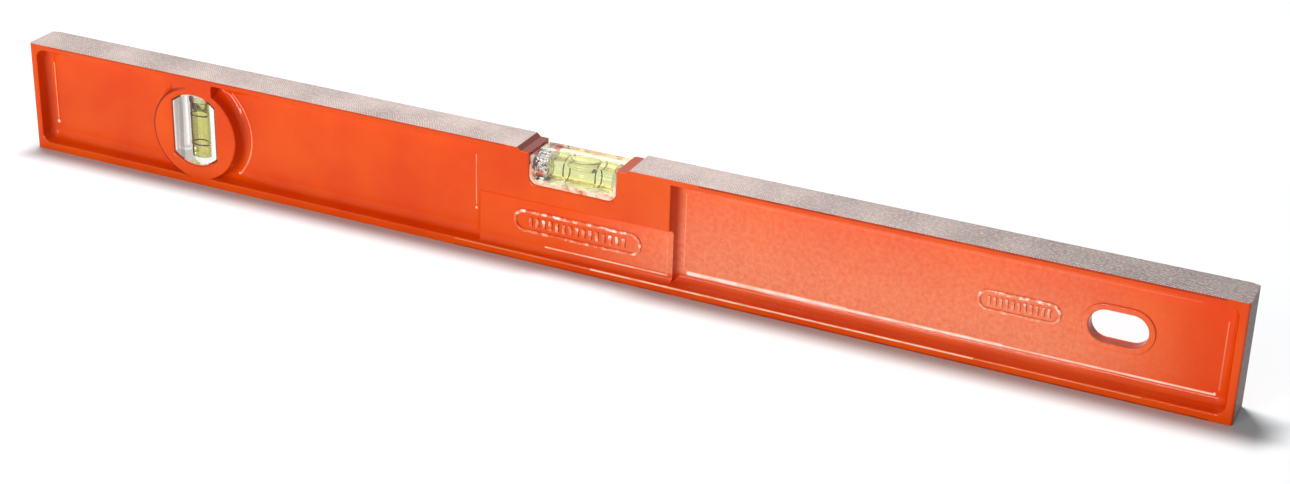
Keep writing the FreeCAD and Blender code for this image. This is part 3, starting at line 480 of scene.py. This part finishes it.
def makeGlue():
    # acrylic cement that set with bubbles and folds in it; the bright and dark specks of its trapped air are
    # painted reflection
    mat, tree = newMaterial("bubblyAcrylicCement")
    place = addNode(tree, "TexCoord").outputs["Object"]
    fold = addNode(tree, "TexNoise", {"Vector": place, "Scale": 1 / (glue["foldMm"] * mm), "Detail": 3.0,
                                      "Roughness": 0.7})
    bubbles = addNode(tree, "TexVoronoi", {"Vector": place, "Scale": 1 / (glue["bubbleMm"] * mm)}, feature="F1")
    height = addNode(tree, "Math", {0: fold, 1: bubbles}, operation="ADD")
    bump = addNode(tree, "Bump", {"Strength": 1.0, "Distance": glue["bumpMm"] * mm, "Height": height})
    bright = addNode(tree, "MapRange", {"Value": bubbles, "From Min": glue["darkTo"],
                                        "From Max": glue["brightFrom"]})
    tone = addNode(tree, "Mix", {0: bright, 6: hexToLinear(glue["dark"]), 7: hexToLinear(glue["bright"])},
                   data_type="RGBA")
    shader = addNode(tree, "BsdfPrincipled", {
        "Base Color": tone.outputs[2], "Roughness": glue["roughness"], "Metallic": glue["metallic"],
        "Normal": bump})
    addNode(tree, "OutputMaterial", {"Surface": shader})
    return mat


cement = {
    "cream": "#F1DFC4", "peach": "#E8A184", "red": "#B4452A", "greyGreen": "#C9CAB2", "roughness": 0.8,
    "lumpMm": 3.5, "grainMm": 0.9, "grainShare": 0.4, "bump": 0.6, "bumpMm": 0.3,
    "peachFrom": 0.42, "peachTo": 0.62, "redTo": 0.72,
    # behind the front of the centre block it turns grey-green, but for one stained streak
    "greyFromMm": 1.0, "greyToMm": 5.0, "streakY": 3.4, "streakCoreMm": 1.0, "streakEdgeMm": 1.8,
}


def greyBehindFront(tree, y):
    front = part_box("centre_vial_block")[0].y
    streak = addNode(tree, "Math", {0: y, 1: cement["streakY"] * mm}, operation="SUBTRACT")
    streak = addNode(tree, "Math", {0: streak}, operation="ABSOLUTE")
    streak = addNode(tree, "MapRange", {"Value": streak, "From Min": cement["streakCoreMm"] * mm,
                                        "From Max": cement["streakEdgeMm"] * mm})
    under = addNode(tree, "MapRange", {"Value": y, "From Min": front + cement["greyFromMm"] * mm,
                                       "From Max": front + cement["greyToMm"] * mm})
    return addNode(tree, "Math", {0: under, 1: streak}, operation="MULTIPLY")


def makeCement():
    # gypsum cement: chalky and matt, stained by the paint along the front and in one streak behind the middle
    mat, tree = newMaterial("creamCement")
    place = addNode(tree, "TexCoord").outputs["Object"]
    lump = addNode(tree, "TexNoise", {"Vector": place, "Scale": 1 / (cement["lumpMm"] * mm), "Detail": 4.0,
                                      "Roughness": 0.6})
    grain = addNode(tree, "TexNoise", {"Vector": place, "Scale": 1 / (cement["grainMm"] * mm), "Detail": 2.0})
    peachy = addNode(tree, "MapRange", {"Value": lump, "From Min": cement["peachFrom"],
                                        "From Max": cement["peachTo"]})
    stained = addNode(tree, "MapRange", {"Value": lump, "From Min": cement["peachTo"],
                                         "From Max": cement["redTo"]})
    greyGreen = greyBehindFront(tree, addNode(tree, "SeparateXYZ", {0: place}).outputs["Y"])
    colour = hexToLinear(cement["cream"])
    for amount, layer in ((peachy, "peach"), (stained, "red"), (greyGreen, "greyGreen")):
        mixed = addNode(tree, "Mix", {0: amount, 6: colour, 7: hexToLinear(cement[layer])}, data_type="RGBA")
        colour = mixed.outputs[2]
    height = addNode(tree, "Math", {0: grain, 1: cement["grainShare"], 2: lump}, operation="MULTIPLY_ADD")
    bump = addNode(tree, "Bump", {"Strength": cement["bump"], "Distance": cement["bumpMm"] * mm,
                                  "Height": height})
    shader = addNode(tree, "BsdfPrincipled", {"Base Color": colour, "Roughness": cement["roughness"],
                                              "Normal": bump})
    addNode(tree, "OutputMaterial", {"Surface": shader})
    return mat


# pieces

def dress(name, material):
    node = nodes[name]
    node.data.materials.clear()
    node.data.materials.append(material)


def addPiece(name, mesh, material, body):
    piece = bpy.data.objects.new(name, mesh)
    bpy.context.scene.collection.objects.link(piece)
    mesh.materials.clear()
    mesh.materials.append(material)
    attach(piece, body)
    return piece


def meshFrom(bm, name, sharpDegrees=35):
    bmesh.ops.recalc_face_normals(bm, faces=bm.faces)
    mesh = bpy.data.meshes.new(name)
    bm.to_mesh(mesh)
    bm.free()
    mesh.shade_smooth()
    mesh.set_sharp_from_angle(angle=math.radians(sharpDegrees))
    return mesh


vial = {"wetOverlapMm": 0.03, "boreGapMm": 0.05, "barrelRiseMm": 0.15, "steps": 24, "segments": 96}


def turnedMesh(name, profile, centre, upright, closed=False):
    # profile is (distance along, radius) from one end to the other; an end of radius 0 closes to a point
    segments = vial["segments"]
    bm = bmesh.new()
    rings = []
    for along, radius in profile:
        points = []
        for step in range(1 if radius == 0 else segments):
            angle = 2 * math.pi * step / segments
            a, b = radius * math.cos(angle), radius * math.sin(angle)
            offset = Vector((a, b, along)) if upright else Vector((along, a, b))
            points.append(bm.verts.new(Vector(centre) + offset))
        rings.append(points)
    if closed:
        rings.append(rings[0])
    for first, second in zip(rings, rings[1:]):
        for step in range(segments):
            after = (step + 1) % segments
            if len(first) == 1:
                bm.faces.new((first[0], second[after], second[step]))
            elif len(second) == 1:
                bm.faces.new((first[step], first[after], second[0]))
            else:
                bm.faces.new((first[step], first[after], second[after], second[step]))
    return meshFrom(bm, name)


def barrelProfile(length, middle):  # the bore bulges a little at its middle
    rise = vial["barrelRiseMm"] * mm
    half = length / 2
    curve = [(half * (2 * k / vial["steps"] - 1)) for k in range(vial["steps"] + 1)]
    return [(-half, 0)] + [(s, middle - rise * (s / half) ** 2) for s in curve] + [(half, 0)]


def fillVial(name, replaced, start, end, middle, axisPoint, upright, material):
    # the spirit wets the bore, so its skin lies just inside the acrylic and no air shows between them
    overlap = vial["wetOverlapMm"] * mm
    profile = barrelProfile(end - start + 2 * overlap, middle + overlap)
    centre = Vector(axisPoint)
    centre[2 if upright else 0] = (start + end) / 2
    piece = addPiece(name, turnedMesh(name, profile, centre, upright), material, "level")
    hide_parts(replaced)


def bandRing(name, replaced, middle, upright, material):
    # a ring that is bonded into its groove, so that no air gap shines round it
    low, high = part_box(replaced)
    half = ring["halfMm"] * mm
    outer = (high.y - low.y) / 2 + ring["bondMm"] * mm
    inner = middle - ring["proudMm"] * mm
    profile = [(-half, inner), (-half, outer), (half, outer), (half, inner)]
    mesh = turnedMesh(name, profile, (low + high) / 2, upright, closed=True)
    piece = addPiece(name, mesh, material, "level")
    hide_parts(replaced)


centreBubble = {"belly": 1.25, "stretch": 1.02, "filmMm": 0.12, "around": 96, "along": 48, "sharpDegrees": 80}


def makeCentreVial(materials):
    low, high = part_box("centre_vial_spirit")
    gap = vial["boreGapMm"] * mm
    middle = (high.y - low.y) / 2 + gap
    axisPoint = (0, 0, low.z - gap + middle)
    fillVial("centre_spirit", "centre_vial_spirit", low.x - gap, high.x + gap, middle, axisPoint, False,
             materials["centreSpirit"])
    bandRing("centre_ring_left", "centre_vial_ring_left", middle, False, materials["ring"])
    bandRing("centre_ring_right", "centre_vial_ring_right", middle, False, materials["ring"])

    # the bubble is an ellipsoid pressed flat against the top of the bore
    bubbleLow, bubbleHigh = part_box("centre_vial_bubble")
    bm = bmesh.new()
    bmesh.ops.create_uvsphere(bm, u_segments=centreBubble["around"], v_segments=centreBubble["along"],
                              radius=1.0)
    half = (bubbleHigh - bubbleLow) / 2
    belly = centreBubble["belly"] * half.z
    film = middle - centreBubble["filmMm"] * mm
    for vert in bm.verts:
        place = Vector((vert.co.z * half.x * centreBubble["stretch"], vert.co.y * half.y, vert.co.x * belly))
        place += Vector(((bubbleLow.x + bubbleHigh.x) / 2, 0, bubbleLow.z + belly))
        out = math.hypot(place.y, place.z - axisPoint[2])
        if out > film:
            place.y *= film / out
            place.z = axisPoint[2] + (place.z - axisPoint[2]) * film / out
        vert.co = place
    bubble = addPiece("centre_bubble", meshFrom(bm, "centre_bubble", centreBubble["sharpDegrees"]),
                      materials["air"], "centre_bubble")
    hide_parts("centre_vial_bubble")


plumbBubble = {"bowlMm": 0.9, "bowlSteps": 16, "shoulderMm": 0.5, "shoulderSteps": 8}


def makePlumbVial(materials):
    low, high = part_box("plumb_vial_spirit")
    gap = vial["boreGapMm"] * mm
    middle = (high.y - low.y) / 2 + gap
    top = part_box("plumb_vial_plug")[0].z
    axisPoint = ((low.x + high.x) / 2, 0, 0)
    fillVial("plumb_spirit", "plumb_vial_spirit", low.z - gap, top, middle, axisPoint, True,
             materials["plumbSpirit"])
    bandRing("plumb_ring_lower", "plumb_vial_ring_lower", middle, True, materials["ring"])
    bandRing("plumb_ring_upper", "plumb_vial_ring_upper", middle, True, materials["ring"])

    # the bubble stands upright: a shallow bowl below, where the spirit creeps up the bore, and a round shoulder
    bubbleLow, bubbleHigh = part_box("plumb_vial_bubble")
    radius = (bubbleHigh.y - bubbleLow.y) / 2
    height = bubbleHigh.z - bubbleLow.z
    bowl = plumbBubble["bowlMm"] * mm
    steps = plumbBubble["bowlSteps"]
    profile = [(bowl * (k / steps) ** 2, radius * k / steps) for k in range(steps + 1)]
    shoulder = plumbBubble["shoulderMm"] * mm
    for k in range(plumbBubble["shoulderSteps"] + 1):
        angle = math.pi / 2 * k / plumbBubble["shoulderSteps"]
        profile.append((height - shoulder + shoulder * math.sin(angle),
                        radius - shoulder + shoulder * math.cos(angle)))
    profile.append((height, 0))
    mesh = turnedMesh("plumb_bubble", profile, (axisPoint[0], 0, bubbleLow.z), True)
    bubble = addPiece("plumb_bubble", mesh, materials["air"], "plumb_bubble")
    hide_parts("plumb_vial_bubble")


bed = {
    "overlapMm": 0.04, "cornerMm": 4.0, "wallGapMm": 0.3, "climbMm": 5.0, "stepMm": 0.35, "proudMm": 0.6,
    "lowMm": 0.4, "highMm": 2.5, "sharpDegrees": 50,
    # the lip is ragged by two noises: size, place in the noise and weight. It fades over its ends
    "rags": ((2.6, 0.4, 1.0), (0.9, 3.1, 0.6)), "ragGain": 0.6, "fadeMm": 2.5, "endHeight": 0.12,
    "endProud": 0.2, "leastProud": 0.45,
}


def lipPath(s, half, floor):
    # follows the notch from the middle of its floor, round the corner and up the wall
    corner = bed["cornerMm"] * mm
    flat = half - corner
    turn = math.pi / 2 * corner
    side = -1 if s < 0 else 1
    far = abs(s)
    if far <= flat:
        return Vector((s, 0, floor)), Vector((0, 0, 1))
    if far <= flat + turn:
        angle = (far - flat) / corner
        inward = Vector((-side * math.sin(angle), 0, math.cos(angle)))
        return Vector((side * flat, 0, floor + corner)) - inward * corner, inward
    return Vector((side * half, 0, floor + corner + far - flat - turn)), Vector((-side, 0, 0))


def addLip(bm, blockLow, half, floor):  # what was squeezed out set as a ragged lip round the lower front edge
    corner = bed["cornerMm"] * mm
    flat = half - corner
    turn = math.pi / 2 * corner
    reach = flat + turn + bed["climbMm"] * mm
    count = int(2 * reach / (bed["stepMm"] * mm))
    rings = []
    for k in range(count + 1):
        s = 2 * reach * k / count - reach
        spot, inward = lipPath(s, half, floor)
        rag = sum(weight * noise.noise(Vector((s / (size * mm), seed, 0.0)))
                  for size, seed, weight in bed["rags"])
        share = min(1.0, max(0.0, 0.5 + bed["ragGain"] * rag))
        fade = min(1.0, (reach - abs(s)) / (bed["fadeMm"] * mm))
        base = (blockLow.z - floor) if abs(s) <= flat + turn / 2 else bed["wallGapMm"] * mm
        spread = (bed["lowMm"] + (bed["highMm"] - bed["lowMm"]) * share) * mm
        height = base + spread * max(bed["endHeight"], fade)
        proud = bed["proudMm"] * mm * (bed["leastProud"] + (1 - bed["leastProud"]) * share)
        proud *= max(bed["endProud"], fade)
        # a round bead from its buried root to its upper edge, each as inward and outward
        section = ((-0.08 * mm, 0.3 * mm), (-0.05 * mm, -0.6 * proud), (0.35 * height, -proud),
                   (0.75 * height, -0.75 * proud), (0.95 * height, -0.3 * proud), (height, 0.02 * mm))
        rings.append([bm.verts.new(spot + inward * up + Vector((0, blockLow.y + out, 0)))
                      for up, out in section])
    for first, second in zip(rings, rings[1:]):
        for j in range(len(first)):
            after = (j + 1) % len(first)
            bm.faces.new((first[j], first[after], second[after], second[j]))
    bm.faces.new(rings[0])
    bm.faces.new(rings[-1])


def makeCentreBed(material):  # the block sits in a slab of cement
    blockLow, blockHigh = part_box("centre_vial_block")
    slabLow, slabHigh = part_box("centre_vial_bedding")
    top = blockLow.z + bed["overlapMm"] * mm
    bm = bmesh.new()
    size = Vector((slabHigh.x - slabLow.x, slabHigh.y - slabLow.y, top - slabLow.z))
    middle = Vector((0, 0, (slabLow.z + top) / 2))
    for vert in bmesh.ops.create_cube(bm, size=1.0)["verts"]:
        vert.co = vert.co * size + middle
    addLip(bm, blockLow, blockHigh.x + bed["wallGapMm"] * mm, slabLow.z)
    piece = addPiece("centre_cement", meshFrom(bm, "centre_cement", bed["sharpDegrees"]), material, "level")
    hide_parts("centre_vial_bedding")


barEdge = {"sunk": 0.3, "round": 0.32, "steps": 4, "sharpDegrees": 60}


def makeBars(material):
    for name, row in bars.items():
        bm = bmesh.new()
        size = Vector((row["width"], row["rise"] + barEdge["sunk"], row["height"]))
        for k in range(row["count"]):
            middle = Vector((row["x"] + (k - (row["count"] - 1) / 2) * row["pitch"],
                             row["y"] + (barEdge["sunk"] - row["rise"]) / 2, row["z"]))
            for vert in bmesh.ops.create_cube(bm, size=1.0)["verts"]:
                vert.co = (vert.co * size + middle) * mm
        bmesh.ops.bevel(bm, geom=bm.edges[:], offset=barEdge["round"] * mm, segments=barEdge["steps"],
                        profile=0.5, affect="EDGES")
        addPiece(name + "_frame_bars", meshFrom(bm, name + "_frame_bars", barEdge["sharpDegrees"]), material,
                 "level")


# camera, lamps and floor

view = {"place": (0.418, -0.8463, 0.4541), "forward": (-0.3756, 0.8238, -0.4246),
        "right": (0.904, 0.4267, 0.0282), "lensMm": 63.91, "sensorMm": 36}  # fitted to the photo


def makeCamera():
    data = bpy.data.cameras.new("camera")
    data.lens = view["lensMm"]
    data.sensor_width = view["sensorMm"]
    camera = bpy.data.objects.new("camera", data)
    bpy.context.scene.collection.objects.link(camera)
    forward = Vector(view["forward"]).normalized()
    right = Vector(view["right"]).normalized()
    up = right.cross(forward).normalized()
    right = forward.cross(up)
    turn = Matrix((right, up, -forward)).transposed().to_4x4()
    camera.matrix_world = Matrix.Translation(Vector(view["place"])) @ turn
    bpy.context.scene.camera = camera


lamps = {
    # the overhead lamp throws the narrow shadow in front, and the low strip the long glints on the fillets
    "overhead": {"place": (-0.31, 0.35, 1.9), "size": (0.66, 0.25), "watts": 62},
    "key": {"place": (-0.5, -1.9, 1.0), "size": (0.6, 0.6), "watts": 7},
    "strip": {"place": (-0.08, -1.9, 0.25), "size": (0.95, 0.2), "watts": 14.3},
}


def makeLamps():
    for name, lamp in lamps.items():
        data = bpy.data.lights.new(name + "_lamp", "AREA")
        data.shape = "RECTANGLE"
        data.size, data.size_y = lamp["size"]
        data.energy = lamp["watts"]
        light = bpy.data.objects.new(name + "_lamp", data)
        light.location = lamp["place"]
        light.rotation_mode = "QUATERNION"
        light.rotation_quaternion = (-Vector(lamp["place"])).to_track_quat("-Z", "Y")
        bpy.context.scene.collection.objects.link(light)


studio = {"white": "#FFFFFF", "skyStrength": 0.2, "floorM": 12, "floorPaper": "#C6C8C9", "floorGlow": 0.04}


def seenRay(tree):  # 1 for rays that show the background itself, or show it in gloss or glass
    path = addNode(tree, "LightPath")
    direct = addNode(tree, "Math", {0: path.outputs["Is Camera Ray"], 1: path.outputs["Is Transmission Ray"]},
                     operation="MAXIMUM")
    return addNode(tree, "Math", {0: direct, 1: path.outputs["Is Glossy Ray"]}, operation="MAXIMUM")


def makeWorld():
    world = bpy.data.worlds.new("white_studio")
    bpy.context.scene.world = world
    world.use_nodes = True
    tree = world.node_tree
    tree.nodes.clear()
    strength = addNode(tree, "MapRange", {"Value": seenRay(tree), "To Min": studio["skyStrength"],
                                          "To Max": 1.0})
    background = addNode(tree, "Background", {"Color": hexToLinear(studio["white"]), "Strength": strength})
    addNode(tree, "OutputWorld", {"Surface": background})


def makeFloor():
    # matt white paper that glows a little where it is seen, as an overexposed backdrop does
    bpy.ops.mesh.primitive_plane_add(size=studio["floorM"])
    floor = bpy.context.object
    floor.name = "floor"
    mat, tree = newMaterial("whitePaper")
    diffuse = addNode(tree, "BsdfDiffuse", {"Color": hexToLinear(studio["floorPaper"])})
    glow = addNode(tree, "Math", {0: seenRay(tree), 1: studio["floorGlow"]}, operation="MULTIPLY")
    glow = addNode(tree, "Emission", {"Color": hexToLinear(studio["white"]), "Strength": glow})
    both = addNode(tree, "AddShader", {0: diffuse, 1: glow})
    addNode(tree, "OutputMaterial", {"Surface": both})
    floor.data.materials.append(mat)


makeCamera()
makeLamps()
makeWorld()
makeFloor()
print("camera, lamps and floor made")

castPaint = makeCastPaint()
acrylic = makeAcrylic("polishedAcrylic")
creamCement = makeCement()
dress("body_casting", castPaint)
for name in ("centre_vial_block", "plumb_vial_plug"):
    dress(name, acrylic)
dress("plumb_vial_block", makeAcrylic("acrylicPaintedReflection", clear["reflectionMost"]))
for name in ("plumb_vial_bedding_lower", "plumb_vial_bedding_upper"):
    dress(name, creamCement)
dress("centre_vial_plug", makeGlue())
print("materials on the CAD nodes")

vialMaterials = {"centreSpirit": makeSpirit(spirit["centre"]), "plumbSpirit": makeSpirit(spirit["plumb"]),
                 "air": makeAir(), "ring": makeRing()}
makeCentreVial(vialMaterials)
makePlumbVial(vialMaterials)
makeCentreBed(creamCement)
print("vials filled and bedded")

makeBars(castPaint)
print("raised bars made")

bpy.context.scene.view_settings.view_transform = "Standard"
